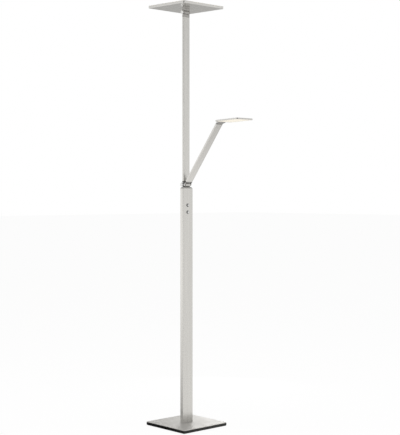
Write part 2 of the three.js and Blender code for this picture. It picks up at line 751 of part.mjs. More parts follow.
function addReadingHead() {
  const { width, length, thickness, cornerRadius, rise, reach } = readingHead;
  const [skin, wall, rearWall] = [1.2, 1.8, 5];
  const top = rise + thickness;
  const middleY = -reach - length / 2;
  const screwZ = rise + thickness / 2;
  const headSeat = reach + rearWall - 2;
  const bores = (radius, from, to) => Object.values(sides).map((side) => (
    pointed(cylinder(radius, from, to), '-y').translate(side * readingScrew.x, 0, screwZ)
  ));
  const screwHoles = bores(readingScrew.shankRadius + GAP, readingBracket.reach, reach + 2 * rearWall);
  const headPockets = bores(readingScrew.headRadius + GAP, headSeat, reach + rearWall + 1);

  const ears = hingeClevis(readingHinge, readingBracket.depth, readingBracket.reach);
  add('reading_bracket', cut(
    join(ears.rotateX(Math.PI / 2), acrossX(readingWedge(GAP - reach), readingHinge.width)),
    ...screwHoles,
  ), 'satinNickel', readingGroup);
  const boltEnd = readingHinge.width / 2 + 1.6;
  add('reading_pivot_bolt', pivotBolt(
    readingHinge, { side: -1, headRadius: 4.8, headHeight: 1.4, endX: boltEnd },
  ), 'chrome', readingGroup);
  add('reading_pivot_nut', pivotNut(
    readingHinge, { radius: 4.2, height: 3, boltEnd },
  ), 'chrome', readingGroup);

  const pocket = { width: width - 2 * wall, length: length - wall - rearWall };
  const pocketY = middleY + (wall - rearWall) / 2;
  add('reading_tray', cut(
    plate(width, length, rise, top, cornerRadius, { chamfer: 0.4, y: middleY }),
    plate(pocket.width, pocket.length, rise - 1, top - skin, cornerRadius - wall, { y: pocketY }),
    ...screwHoles,
    ...headPockets,
  ), 'brushedNickel', readingGroup);
  for (const [word, side] of Object.entries(sides)) {
    add(`reading_screw_${word}`, pointed(screw(readingScrew), '-y')
      .translate(side * readingScrew.x, -headSeat - GAP, screwZ), 'zincSteel', readingGroup);
  }
  const layer = (bottom, upper) => plate(
    pocket.width - 2 * GAP,
    pocket.length - 2 * GAP,
    bottom,
    upper,
    cornerRadius - wall - GAP,
    { y: pocketY },
  );
  const board = { thickness: 1.2, top: top - skin - GAP };
  const diffuser = { bottom: rise + 0.15, top: rise + 2 };
  add('reading_led_board', layer(board.top - board.thickness, board.top), 'whiteBoard', readingGroup);
  add('reading_diffuser', layer(diffuser.bottom, diffuser.top), 'diffuser', readingGroup);
}

// ---------------------------------------------------------------- washers

function addWashers() {
  const hinges = [
    { name: 'arm', kind: armHinge, group: lamp, y: armPivot.y, z: armPivot.z },
    { name: 'top', kind: postHinge, group: lamp, y: torchierePivot.y, z: torchierePivot.z },
    { name: 'reading', kind: readingHinge, group: readingArm, y: 0, z: arm.length },
  ];
  for (const { name, kind, group, y, z } of hinges) {
    for (const [word, side] of Object.entries(sides)) {
      add(`${name}_washer_${word}`, hingeWasher(kind, side).translate(0, y, z), 'nylon', group);
    }
  }
}

addLowerPost(addBase());
addCapAndStem();
addUpperPost();
addTorchiereHead();
addReadingArm();
addReadingHead();
addWashers();

export default lamp;
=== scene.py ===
"""Torchiere floor lamp with a folding reading arm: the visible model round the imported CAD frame.

Shapes are written in millimetres in the frame of the body they sit on, and become metres in one
place, piece(). The lamp stands on z = 0 and its front looks towards -Y.
"""

import math
from functools import partial

import bmesh
import bpy
from mathutils import Matrix, Vector


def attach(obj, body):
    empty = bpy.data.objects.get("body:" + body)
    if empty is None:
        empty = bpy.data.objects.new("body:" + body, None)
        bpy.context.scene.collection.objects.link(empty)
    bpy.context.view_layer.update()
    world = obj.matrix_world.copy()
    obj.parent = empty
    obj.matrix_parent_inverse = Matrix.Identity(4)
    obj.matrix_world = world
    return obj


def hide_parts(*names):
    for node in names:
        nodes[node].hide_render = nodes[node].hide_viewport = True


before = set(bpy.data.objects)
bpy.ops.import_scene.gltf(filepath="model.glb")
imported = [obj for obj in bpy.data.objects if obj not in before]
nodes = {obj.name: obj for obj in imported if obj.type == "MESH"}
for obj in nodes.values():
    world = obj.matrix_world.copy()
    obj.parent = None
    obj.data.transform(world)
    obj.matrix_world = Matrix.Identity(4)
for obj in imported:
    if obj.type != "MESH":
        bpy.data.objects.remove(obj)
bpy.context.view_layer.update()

MM = 0.001
scene = bpy.context.scene

# ------------------------------------------------------------------ dimensions, as in the CAD

GAP = 0.3  # between neighbouring pieces
BASE = {
    "side": 250,
    "radius": 5,
    "pad_side": 247,
    "pad_top": 1.7,
    "weight": (2, 12),
    "cover": (12.3, 14.3),
    "cover_inset": 0.3,
}
LOWER = {"width": 57.8, "depth": 17.6, "wall": 1.5, "radius": 1.6, "bottom": 14.6, "top": 1034}
UPPER = {"width": 35, "depth": 10, "wall": 1.2, "radius": 1.2, "bottom": 1066.5, "top": 1782, "y": 3.8}
STEM = {"width": 26.2, "depth": 5, "y": 5.7, "shoulder": 6.2, "plug": 30}
ARM = {"width": 35, "depth": 7.4, "wall": 1.2, "radius": 1.2, "length": 333, "tilt": 38.35}
HEAD = {
    "side": 234,
    "radius": 5,
    "wall": 2,
    "under": 17.5,
    "floor": 19.0,
    "pan_top": 26.8,
    "frame": (27.1, 28.3),
    "lip": 8,
}
READING = {"width": 93.5, "length": 133, "radius": 6.5, "middle": -85, "bottom": 0.3, "top": 6.3}
POCKET = {"width": 89.9, "length": 126.2, "radius": 4.7, "middle": -86.6, "top": 5.1}
CAP_TOP = 1040.5
ARM_PIVOT = (-5.4, 1051)
TOP_PIVOT = (3.8, 1802.5)
HEAD_TILT = 1.3
READING_TILT = -1.6
# Each hinge lies along X: its barrel in the middle, then a washer and an ear on both sides.
BARREL = (-13.2, 13.2)
WASHER = (13.5, 14.2)
EAR = (14.5, 17.5)
BOLT_FACE = EAR[1] + GAP  # where a bolt's head or a nut starts
TOP_HINGE = {"radius": 8, "neck": 2.8, "bridge": 8.9, "bolt": 2.5, "bore": 2.8}
ARM_HINGE = {"radius": 6.4, "neck": 2.8, "bridge": 11.4, "bolt": 2.5, "bore": 2.8}
READING_HINGE = {"radius": 5.6, "neck": 2.5, "bolt": 1.6, "bore": 1.9}
CLEVIS_TOP = 17
ARM_TUBE_TOP = 324.4
ARM_TIP_TOP = 326.4
PLUG = {"lower": 22, "upper": 25, "arm": 24}  # how far a plug reaches into each tube
LUG = {"width": 4.05, "x": 15.475, "above_pivot": 7}  # on the cap, one on each side of the stem
GROMMET_Z = 84
KNOB = {"radius": 8, "thickness": 5.2, "shank": 2}
BUTTONS = {"torchiere": 961, "reading": 930.5}
REAR_SCREWS = {
    "foot": {"x": 16, "z": 53, "radius": 3.6, "height": 2.0},
    "cap": {"x": 20, "z": 1022, "radius": 2.8, "height": 1.7},
}
SHARP_ANGLE = math.radians(34)  # edges that bend more than this are hard

STAND = Matrix.Identity(4)


def local_frame(parent, y, z, tilt):
    """A body's frame: moved to (0, y, z) mm in its parent's frame and tilted about X."""
    return parent @ Matrix.Translation((0, y * MM, z * MM)) @ Matrix.Rotation(math.radians(tilt), 4, "X")


ARM_FRAME = local_frame(STAND, *ARM_PIVOT, ARM["tilt"])
READING_FRAME = local_frame(ARM_FRAME, 0, ARM["length"], READING_TILT - ARM["tilt"])
HEAD_FRAME = local_frame(STAND, *TOP_PIVOT, HEAD_TILT)

# ------------------------------------------------------------------ materials


def add_node(tree, kind, inputs=(), **settings):
    """Adds a node, sets it up and feeds its inputs with sockets or with plain values."""
    node = tree.nodes.new(kind)
    for key, value in settings.items():
        setattr(node, key, value)
    for key, value in dict(inputs).items():
        feed(tree, node.inputs[key], value)
    return node


def feed(tree, socket, value):
    if isinstance(value, bpy.types.NodeSocket):
        tree.links.new(value, socket)
    else:
        socket.default_value = value


def span(tree, value, start, end, low=0.0, high=1.0, **settings):
    """Carries start..end over to low..high, and holds the level beyond both ends."""
    inputs = {0: value, 1: start, 2: end, 3: low, 4: high}
    return add_node(tree, "ShaderNodeMapRange", inputs, clamp=True, **settings).outputs[0]


def dot(tree, a, b):
    return add_node(tree, "ShaderNodeVectorMath", {0: a, 1: b}, operation="DOT_PRODUCT").outputs["Value"]


class Finish:
    """A procedural material. Its texture coordinates are the piece's own, in metres."""

    def __init__(self, name):
        self.material = bpy.data.materials.new(name)
        self.material.use_nodes = True
        self.tree = self.material.node_tree
        self.shader = self.tree.nodes["Principled BSDF"]
        self.place = self.add("ShaderNodeTexCoord").outputs["Object"]

    def add(self, kind, inputs=(), **settings):
        return add_node(self.tree, kind, inputs, **settings)

    def set(self, **values):
        """Feeds the main shader's sockets. An underscore in a key stands for a space."""
        for key, value in values.items():
            feed(self.tree, self.shader.inputs[key.replace("_", " ")], value)

    def mapped(self, scale):
        return self.add("ShaderNodeMapping", {"Vector": self.place, "Scale": scale}).outputs["Vector"]

    def noise(self, size, stretch=(1, 1, 1), detail=2.0, roughness=0.5):
        """Noise whose grains are about size metres, longer where stretch is above 1."""
        where = self.mapped([1 / (size * s) for s in stretch])
        inputs = {"Vector": where, "Scale": 1.0, "Detail": detail, "Roughness": roughness}
        return self.add("ShaderNodeTexNoise", inputs).outputs["Fac"]

    def span(self, *values):
        return span(self.tree, *values)

    def math(self, operation, a, b=0.0):
        return self.add("ShaderNodeMath", {0: a, 1: b}, operation=operation).outputs[0]

    def mix(self, amount, a, b):
        inputs = {0: amount, 6: a, 7: b}
        return self.add("ShaderNodeMix", inputs, data_type="RGBA").outputs[2]

    def scaled(self, colour, factor):
        return self.add("ShaderNodeVectorMath", {0: colour[:3], 3: factor}, operation="SCALE").outputs[0]

    def edges(self, radius):
        """1 along convex and concave edges within radius metres, 0 on flats."""
        bent = self.add("ShaderNodeBevel", {"Radius": radius}, samples=6).outputs["Normal"]
        true = self.add("ShaderNodeNewGeometry").outputs["Normal"]
        return self.span(dot(self.tree, bent, true), 0.995, 0.86)

    def bump(self, *layers):
        """Stacks (height, strength, depth in metres) layers into one normal."""
        normal = None
        for height, strength, depth in layers:
            inputs = {"Height": height, "Strength": strength, "Distance": depth}
            if normal:
                inputs["Normal"] = normal
            normal = self.add("ShaderNodeBump", inputs).outputs["Normal"]
        self.set(Normal=normal)


def shade(colour, factor):
    return tuple(c * factor for c in colour[:3]) + (1.0,)


def brushed(name, colour, roughness, stretch):
    """Brushed metal: fine hairlines, slower bands of polish, handling marks and bright edges."""
    f = Finish(name)
    hair = f.noise(0.00035, stretch, 3.0, 0.65)
    bands = f.noise(0.004, stretch, 2.0, 0.5)
    marks = f.noise(0.05, (1, 1, 1), 3.0, 0.55)
    worn = f.math("MULTIPLY", f.edges(0.0007), f.noise(0.006, (1, 1, 1), 3.0, 0.6))
    band_tone = f.span(bands, 0.3, 0.7, 0.95, 1.05)
    tone = f.math("ADD", band_tone, f.span(hair, 0.3, 0.7, -0.03, 0.03))
    body = f.scaled(colour, f.math("MULTIPLY", tone, f.span(marks, 0.35, 0.65, 0.985, 1.015)))
    lines = f.span(hair, 0.3, 0.7, roughness - 0.05, roughness + 0.06)
    polish = f.math("ADD", lines, f.span(marks, 0.35, 0.7, -0.02, 0.05))
    f.set(
        Base_Color=f.mix(worn, body, shade(colour, 1.12)),
        Metallic=1.0,
        Roughness=f.math("SUBTRACT", polish, f.math("MULTIPLY", worn, 0.12)),
    )
    f.bump((hair, 0.10, 0.00002), (bands, 0.04, 0.00005))
    return f.material


def cast(name, colour, roughness):
    """Satin cast or machined fitting: fine grain, a faint cloud and rubbed edges."""
    f = Finish(name)
    grain = f.noise(0.0004, (1, 1, 1), 4.0, 0.6)
    cloud = f.noise(0.012, (1, 1, 1), 3.0, 0.5)
    worn = f.math("MULTIPLY", f.edges(0.0006), f.noise(0.004, (1, 1, 1), 2.0, 0.6))
    body = f.scaled(colour, f.span(cloud, 0.3, 0.7, 0.93, 1.05))
    f.set(
        Base_Color=f.mix(worn, body, shade(colour, 1.25)),
        Metallic=1.0,
        Roughness=f.span(grain, 0.25, 0.75, roughness - 0.06, roughness + 0.08),
    )
    f.bump((grain, 0.15, 0.00003), (cloud, 0.05, 0.0002))
    return f.material


def polished(name, colour):
    """Chrome plate: bright, with hairline polishing marks and a little haze."""
    f = Finish(name)
    haze = f.noise(0.008, (1, 1, 1), 3.0, 0.6)
    lines = f.noise(0.0002, (1, 1, 12), 2.0, 0.7)
    f.set(
        Base_Color=f.scaled(colour, f.span(haze, 0.3, 0.7, 0.96, 1.03)),
        Metallic=1.0,
        Roughness=f.math("ADD", f.span(haze, 0.35, 0.7, 0.04, 0.09), f.span(lines, 0.4, 0.7, 0.0, 0.03)),
    )
    f.bump((lines, 0.03, 0.00001))
    return f.material


def painted(name, colour, roughness, size=0.0006):
    """Powder coat or moulded plastic: fine orange peel, a duller cloud and rubbed edges."""
    f = Finish(name)
    peel = f.noise(size, (1, 1, 1), 3.0, 0.5)
    cloud = f.noise(0.03, (1, 1, 1), 3.0, 0.5)
    worn = f.math("MULTIPLY", f.edges(0.0005), f.noise(0.005, (1, 1, 1), 3.0, 0.6))
    f.set(
        Base_Color=f.mix(worn, f.scaled(colour, f.span(cloud, 0.3, 0.7, 0.85, 1.12)), shade(colour, 2.2)),
        Roughness=f.span(cloud, 0.3, 0.7, roughness - 0.06, roughness + 0.08),
        Specular_IOR_Level=0.5,
    )
    f.bump((peel, 0.25, 0.00006))
    return f.material


def rubber(name, colour):
    """Matte moulded rubber with a pebbled skin and dusty hollows."""
    f = Finish(name)
    pebbles = {"Vector": f.mapped((1, 1, 1)), "Scale": 900.0}
    pebble = f.add("ShaderNodeTexVoronoi", pebbles).outputs["Distance"]
    dust = f.noise(0.01, (1, 1, 1), 4.0, 0.6)
    f.set(
        Base_Color=f.mix(f.span(dust, 0.45, 0.75, 0, 0.4), colour, shade(colour, 2.5)),
        Roughness=f.span(dust, 0.3, 0.7, 0.72, 0.92),
        Specular_IOR_Level=0.2,
    )
    f.bump((pebble, 0.3, 0.0001))
    return f.material


def circuit_board(name, colour):
    """Solder mask with pale copper tracks in a fine grid."""
    f = Finish(name)
    grid = {
        "Vector": f.mapped((1, 1, 1)),
        "Scale": 140.0,
        "Brick Width": 0.7,
        "Row Height": 0.28,
        "Mortar Size": 0.035,
    }
    tracks = f.add("ShaderNodeTexBrick", grid, offset=0.37).outputs["Fac"]
    cloud = f.noise(0.004, (1, 1, 1), 2.0, 0.5)
    f.set(
        Base_Color=f.mix(tracks, f.scaled(colour, f.span(cloud, 0.3, 0.7, 0.8, 1.15)), (0.30, 0.52, 0.22, 1)),
        Roughness=f.span(tracks, 0, 1, 0.42, 0.3),
    )
    f.bump((tracks, 0.3, 0.00004))
    return f.material


def led_board(name, colour):
    """White coated aluminium with rows of small pale yellow LED dies."""
    f = Finish(name)
    dots = {"Vector": f.mapped((1, 1, 1)), "Scale": 125.0, "Randomness": 0.0}
    spot = f.add("ShaderNodeTexVoronoi", dots).outputs["Distance"]
    die = f.span(spot, 0.22, 0.16)
    grain = f.noise(0.001, (1, 1, 1), 3.0, 0.5)
    f.set(
        Base_Color=f.mix(die, f.scaled(colour, f.span(grain, 0.3, 0.7, 0.94, 1.02)), (0.9, 0.72, 0.2, 1)),
        Roughness=f.span(grain, 0.3, 0.7, 0.4, 0.55),
    )
    f.bump((die, 0.4, 0.0001))
    return f.material


def opal(name, glow, strength, half_x, half_y, middle_y):
    """Opal acrylic lit from behind: evenly bright, a little dimmer towards its rim."""
    f = Finish(name)
    along = f.add("ShaderNodeSeparateXYZ", {"Vector": f.place})
    off_x = f.math("DIVIDE", f.math("ABSOLUTE", along.outputs["X"]), half_x)
    from_middle = f.math("SUBTRACT", along.outputs["Y"], middle_y)
    off_y = f.math("DIVIDE", f.math("ABSOLUTE", from_middle), half_y)
    rim = f.span(f.math("MAXIMUM", off_x, off_y), 0.75, 1.0)
    grain = f.noise(0.0008, (1, 1, 1), 3.0, 0.5)
    f.set(
        Base_Color=f.scaled((0.86, 0.82, 0.74), f.span(grain, 0.3, 0.7, 0.97, 1.0)),
        Roughness=f.span(grain, 0.3, 0.7, 0.32, 0.42),
        Emission_Color=f.mix(rim, glow, shade(glow, 0.86)),
        Emission_Strength=strength,
    )
    f.bump((grain, 0.1, 0.00003))
    return f.material


def acrylic(name):
    """Clear light guide with its faint lattice of extraction dots."""
    f = Finish(name)
    dots = {"Vector": f.mapped((1, 1, 1)), "Scale": 300.0, "Randomness": 0.0}
    spot = f.add("ShaderNodeTexVoronoi", dots).outputs["Distance"]
    dot = f.span(spot, 0.2, 0.14)
    f.set(
        Base_Color=f.mix(dot, (0.93, 0.96, 0.96, 1), (1, 1, 1, 1)),
        Roughness=f.span(dot, 0, 1, 0.06, 0.6),
        Transmission_Weight=0.85,
        IOR=1.49,
    )
    return f.material


NICKEL = (0.80, 0.79, 0.765, 1)
ALONG_Z, ALONG_Y, ALONG_X = (1, 1, 120), (1, 120, 1), (120, 1, 1)
GLOW = (1.0, 0.92, 0.76, 1)

# Each finish: the function that makes it, then that function's values after the name.
RECIPES = {
    "post_nickel": (brushed, NICKEL, 0.24, ALONG_Z),
    "plate_nickel": (brushed, (0.90, 0.885, 0.86, 1), 0.50, ALONG_X),
    "head_nickel": (brushed, (0.88, 0.87, 0.845, 1), 0.24, ALONG_Y),
    "pan_nickel": (brushed, NICKEL, 0.30, ALONG_Y),
    "satin_nickel": (cast, (0.52, 0.51, 0.495, 1), 0.34),
    # The arm fork's bridge is a darker steel than its satin ears: painted shade in the gap above the arm
    # hinge's barrel
    "fork_steel": (cast, (0.31, 0.31, 0.30, 1), 0.42),
    "chrome": (polished, (0.86, 0.86, 0.86, 1)),
    "black_iron": (painted, (0.0028, 0.0024, 0.002, 1), 0.22),
    # Dark steel, much darker than the hinge castings round it: painted shade in the gaps of the arm hinge, on
    # the neck under its barrel and on the stem
    "dark_steel": (cast, (0.20, 0.20, 0.195, 1), 0.42),
    "zinc_steel": (cast, (0.58, 0.59, 0.61, 1), 0.36),
    "black_rubber": (rubber, (0.006, 0.006, 0.006, 1)),
    "black_plastic": (painted, (0.03, 0.03, 0.03, 1), 0.5, 0.0004),
    "nylon": (painted, (0.62, 0.59, 0.51, 1), 0.5, 0.0003),
    "circuit_board": (circuit_board, (0.03, 0.15, 0.06, 1)),
    "white_board": (led_board, (0.85, 0.85, 0.83, 1)),
    "light_guide": (acrylic,),
    "torchiere_opal": (opal, GLOW, 1.0, 0.115, 0.115, TOP_PIVOT[0] * MM),
    "reading_opal": (opal, GLOW, 0.42, 0.0447, 0.0628, -0.0866),
}
finishes = {name: make(name, *values) for name, (make, *values) in RECIPES.items()}

# ------------------------------------------------------------------ mesh building


def smooth(obj):
    """Smooth shading, with normals weighted to the large faces."""
    obj.data.shade_smooth()
    weighted = obj.modifiers.new("weighted", "WEIGHTED_NORMAL")
    weighted.keep_sharp = True


def soften(obj, width):
    """Rounds the hard edges by a width in millimetres."""
    bevel = obj.modifiers.new("soften", "BEVEL")
    bevel.width = width * MM
    bevel.segments = 2
    bevel.limit_method = "ANGLE"
    bevel.angle_limit = SHARP_ANGLE


def piece(name, bm, where, body, finish, replaced, bevel=0.0):
    """Turns a mesh in millimetres into a piece that stands for CAD nodes and rides on a body."""
    bmesh.ops.recalc_face_normals(bm, faces=bm.faces)
    bmesh.ops.scale(bm, vec=(MM, MM, MM), verts=bm.verts)
    mesh = bpy.data.meshes.new(name)
    bm.to_mesh(mesh)
    bm.free()
    obj = bpy.data.objects.new(name, mesh)
    scene.collection.objects.link(obj)
    obj.matrix_world = where
    mesh.materials.append(finishes[finish])
    if bevel:
        soften(obj, bevel)
    smooth(obj)
    mesh.set_sharp_from_angle(angle=SHARP_ANGLE)
    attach(obj, body)
    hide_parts(*replaced)


def strip(bm, rings, closed=False):
    """Quads between neighbouring rings of vertices, and between the last and the first if closed."""
    pairs = list(zip(rings, rings[1:]))
    if closed:
        pairs.append((rings[-1], rings[0]))
    for a, b in pairs:
        count = len(a)
        for i in range(count):
            j = (i + 1) % count
            bm.faces.new((a[i], a[j], b[j], b[i]))


def rectangle(width, depth, radius, steps=6):
    """A rounded rectangle's points, anticlockwise from the middle of its right side."""
    radius = max(radius, 0.05)
    points = []
    for corner, (sx, sy) in enumerate(((1, 1), (-1, 1), (-1, -1), (1, -1))):
        cx, cy = sx * (width / 2 - radius), sy * (depth / 2 - radius)
        for k in range(steps + 1):
            angle = math.radians(90 * (corner + k / steps))
            points.append((cx + radius * math.cos(angle), cy + radius * math.sin(angle)))
    return points


def ring(bm, width, depth, radius, z, y=0.0, x=0.0):
    return [bm.verts.new((x + px, y + py, z)) for px, py in rectangle(width, depth, radius)]


def rim(width, depth, radius, z, edge, direction, steps=3):
    """Ring sizes round an edge, from the wall to the flat if direction is 1, back if it is -1."""
    rings = []
    for k in range(steps + 1):
        angle = math.pi / 2 * k / steps
        inset = edge * (1 - math.cos(angle))
        rings.append((width - 2 * inset, depth - 2 * inset, radius - inset, z - edge * (1 - math.sin(angle))))
    return rings if direction > 0 else rings[::-1]


def low_rim(width, depth, radius, z, edge, direction):
    """The same round the lower edge of a wall that starts at height z."""
    mirrored = rim(width, depth, radius, z, edge, direction)
    return [(w, d, r, 2 * z - height) for w, d, r, height in mirrored]


def capped(bm, rings):
    """A closed skin over rings, with a flat face at both ends."""
    strip(bm, rings)
    bm.faces.new(rings[0][::-1])
    bm.faces.new(rings[-1])


def slab(bm, width, depth, radius, bottom, top, edge=0.5, x=0.0, y=0.0):
    """A plate with rounded corners and rounded rims."""
    sizes = low_rim(width, depth, radius, bottom, edge, -1) + rim(width, depth, radius, top, edge, 1)
    capped(bm, [ring(bm, w, d, r, z, y, x) for w, d, r, z in sizes])


def plug(bm, section, bottom, top, edge=0.3, y=0.0):
    """A block that fills a rectangular tube, less the gap."""
    slack = 2 * (section["wall"] + GAP)
    slab(bm, section["width"] - slack, section["depth"] - slack, 0.5, bottom, top, edge, y=y)


def tube(bm, section, bottom, top, y=0.0, edge=0.25):
    """A rectangular tube with eased ends."""
    width, depth, wall, radius = (section[key] for key in ("width", "depth", "wall", "radius"))
    outer = low_rim(width, depth, radius, bottom, edge, -1) + rim(width, depth, radius, top, edge, 1)
    inner_size = (width - 2 * wall, depth - 2 * wall, max(radius - wall, 0.3))
    inner = [(*inner_size, top), (*inner_size, bottom)]
    rings = [ring(bm, w, d, r, z, y) for w, d, r, z in outer + inner]
    strip(bm, rings, closed=True)


def lathe(bm, profile, axis="z", centre=(0, 0, 0), sides=64):
    """Turns (radius, height, form) corners about an axis. A form of 'hex' or 'flute' shapes that ring."""
    turn = {
        "z": Matrix.Identity(3),
        "-z": Matrix.Rotation(math.pi, 3, "X"),
        "x": Matrix.Rotation(math.pi / 2, 3, "Y"),
        "-x": Matrix.Rotation(-math.pi / 2, 3, "Y"),
        "y": Matrix.Rotation(-math.pi / 2, 3, "X"),
        "-y": Matrix.Rotation(math.pi / 2, 3, "X"),
    }[axis]
    closed = profile[0][0] > 0 and profile[-1][0] > 0
    rings = []
    tips = []
    for radius, height, *form in profile:
        if radius == 0:
            tips.append(bm.verts.new(turn @ Vector((0, 0, height)) + Vector(centre)))
            rings.append(None)
            continue
        row = []
        for i in range(sides):
            angle = 2 * math.pi * i / sides
            r = radius * FORMS[form[0]](angle) if form else radius
            corner = Vector((r * math.cos(angle), r * math.sin(angle), height))
            row.append(bm.verts.new(turn @ corner + Vector(centre)))
        rings.append(row)
    body = [row for row in rings if row]
    strip(bm, body, closed)
    if not closed:
        for tip, row in zip(tips, (body[0], body[-1])):
            for i in range(sides):
                bm.faces.new((tip, row[i], row[(i + 1) % sides]))


def hexagon(angle):
    """A hexagon's radius by angle, as a share of its flat's distance."""
    return 1 / math.cos((angle + math.pi / 6) % (math.pi / 3) - math.pi / 6)


FLUTES = 24
FORMS = {"hex": hexagon, "flute": lambda angle: 1 - 0.035 * (0.5 - 0.5 * math.cos(FLUTES * angle))}


def prism(bm, outline, x_from, x_to, y=0.0, z=0.0):
    """A closed prism along X from an outline of (y, z) points."""
    rows = [[bm.verts.new((x, y + py, z + pz)) for py, pz in outline] for x in (x_from, x_to)]
    strip(bm, rows)
    bm.faces.new(rows[0])
    bm.faces.new(rows[1][::-1])


def knuckle(radius, half, reach, steps=40):
    """A round knuckle's outline in (y, z) with a web of that half depth up to z = reach."""
    start = math.asin(half / radius)
    turn = 1 if reach > 0 else -1
    points = [(half, reach), (-half, reach)] if reach > 0 else [(-half, reach), (half, reach)]
    first = math.pi / 2 * turn + start
    sweep = 2 * math.pi - 2 * start
    return points + [
        (radius * math.cos(first + sweep * k / steps), radius * math.sin(first + sweep * k / steps))
        for k in range(steps + 1)
    ]


# ------------------------------------------------------------------ stand


def build_base():
    bm = bmesh.new()
    slab(bm, BASE["pad_side"], BASE["pad_side"], BASE["radius"], 0, BASE["pad_top"], 0.4)
    piece("rubber_pad", bm, STAND, "stand", "black_rubber", ["base_pad"])
    bm = bmesh.new()
    slab(bm, BASE["side"], BASE["side"], BASE["radius"], *BASE["weight"], 0.9)
    piece("iron_plate", bm, STAND, "stand", "black_iron", ["base_weight"])
    bm = bmesh.new()
    cover_side = BASE["side"] - 2 * BASE["cover_inset"]
    slab(bm, cover_side, cover_side, BASE["radius"], *BASE["cover"], 0.7)
    piece("cover_plate", bm, STAND, "stand", "plate_nickel", ["base_cover"])


def screw_head(bm, radius, height, axis, centre):
    """A button-head screw with a hexagon socket."""
    socket = radius * 0.46
    lathe(bm, [
        (0, -1.5),
        (radius * 0.5, -1.5),
        (radius * 0.5, 0),
        (radius * 0.97, 0),
        (radius, height * 0.15),
        (radius * 0.96, height * 0.5),
        (radius * 0.82, height * 0.82),
        (radius * 0.64, height),
        (socket * 1.2, height),
        (socket, height * 0.96, "hex"),
        (socket, height * 0.3, "hex"),
        (0, height * 0.25),
    ], axis, centre, 48)


BUTTON_TOP = 4.2  # how far a button stands proud of the post
SLEEVE_TOP = 3.5
DOME = 22  # the radius of a button's crown
DOME_STEPS = [math.radians(degrees) for degrees in (13, 12, 10, 8, 6, 3)]


def build_lower_post():
    bm = bmesh.new()
    tube(bm, LOWER, LOWER["bottom"], LOWER["top"])
    piece("lower_tube", bm, STAND, "stand", "post_nickel", ["lower_post"])

    back = LOWER["depth"] / 2
    for side, word in ((-1, "left"), (1, "right")):
        for label, screw in REAR_SCREWS.items():
            bm = bmesh.new()
            screw_head(bm, screw["radius"], screw["height"], "y", (side * screw["x"], back + GAP, screw["z"]))
            piece(f"{label}_bolt_{word}", bm, STAND, "stand", "chrome", [f"{label}_screw_{word}"])

    bm = bmesh.new()
    lathe(bm, [
        (2.8, back - 3.5),
        (6.2, back - 3.5),
        (6.2, back - 1.8),
        (4.6, back - 1.8),
        (4.6, back + GAP),
        (6.6, back + GAP),
        (6.5, back + 1.0),
        (6.1, back + 1.7),
        (5.4, back + 2.15),
        (4.0, back + 2.2),
        (3.1, back + 1.9),
        (2.8, back + 1.3),
    ], "y", (0, 0, GROMMET_Z))
    piece("grommet", bm, STAND, "stand", "black_rubber", ["cord_grommet"])

    for word, z in BUTTONS.items():
        bm = bmesh.new()
        lathe(bm, [
            (6.7, back + GAP),
            (8.0, back + GAP),
            (7.97, back + 0.42),
            (7.6, back + 0.8),
            (7.3, back + 0.95),
            (7.0, back + 0.95),
            (6.7, back + 0.8),
        ], "-y", (0, 0, z), 96)
        piece(f"{word}_bezel", bm, STAND, "stand", "chrome", [f"{word}_button_ring"])
        bm = bmesh.new()
        lathe(bm, [
            (5.9, back - 2.3),
            (6.65, back - 2.3),
            (6.65, back + 1.1),
            (6.5, back + 1.35),
            (6.2, back + 1.4),
            (5.95, back + 1.3),
            (5.9, back + 1.1),
        ], "-y", (0, 0, z), 96)
        piece(f"{word}_seal", bm, STAND, "stand", "black_rubber", [f"{word}_button_ring"])
        bm = bmesh.new()
        lathe(bm, [
            (0, 2),
            (1.5, 2),
            (1.5, 5.1),
            (6.3, 5.1),
            (6.3, 6),
            (5.6, 6),
            (5.6, back + SLEEVE_TOP - 0.1),
            (5.5, back + SLEEVE_TOP),
            (0, back + SLEEVE_TOP),
        ], "-y", (0, 0, z), 96)
        piece(f"{word}_sleeve", bm, STAND, f"{word}_button", "black_rubber", [f"{word}_button"])
        bm = bmesh.new()
        lathe(bm, [
            (0, back + SLEEVE_TOP + 0.05),
            (5.0, back + SLEEVE_TOP + 0.05),
            (5.1, back + SLEEVE_TOP + 0.1),
            *((DOME * math.sin(a), back + BUTTON_TOP - DOME * (1 - math.cos(a))) for a in DOME_STEPS),
            (0, back + BUTTON_TOP),
        ], "-y", (0, 0, z), 96)
        piece(f"{word}_push", bm, STAND, f"{word}_button", "chrome", [f"{word}_button"])


def knob_profile(face, collar_radius, collar_end, shank_end):
    """The turned outline of a fluted knob along -X, from the shank's end to the dished face."""
    back = face - KNOB["thickness"]
    return [
        (0, shank_end),
        (KNOB["shank"], shank_end),
        (KNOB["shank"], collar_end),
        (collar_radius, collar_end),
        (collar_radius, back - 0.6),
        (collar_radius + 0.5, back),
        (6.6, back),
        (7.4, back + 0.35),
        (7.85, back + 0.9, "flute"),
        (KNOB["radius"], back + 1.3, "flute"),
        (KNOB["radius"], face - 1.3, "flute"),
        (7.85, face - 0.8, "flute"),
        (7.35, face - 0.25),
        (6.6, face),
        (5.9, face),
        (5.5, face - 0.35),
        (4.2, face - 0.5),
        (1.4, face - 0.5),
        (0, face - 0.5),
    ]


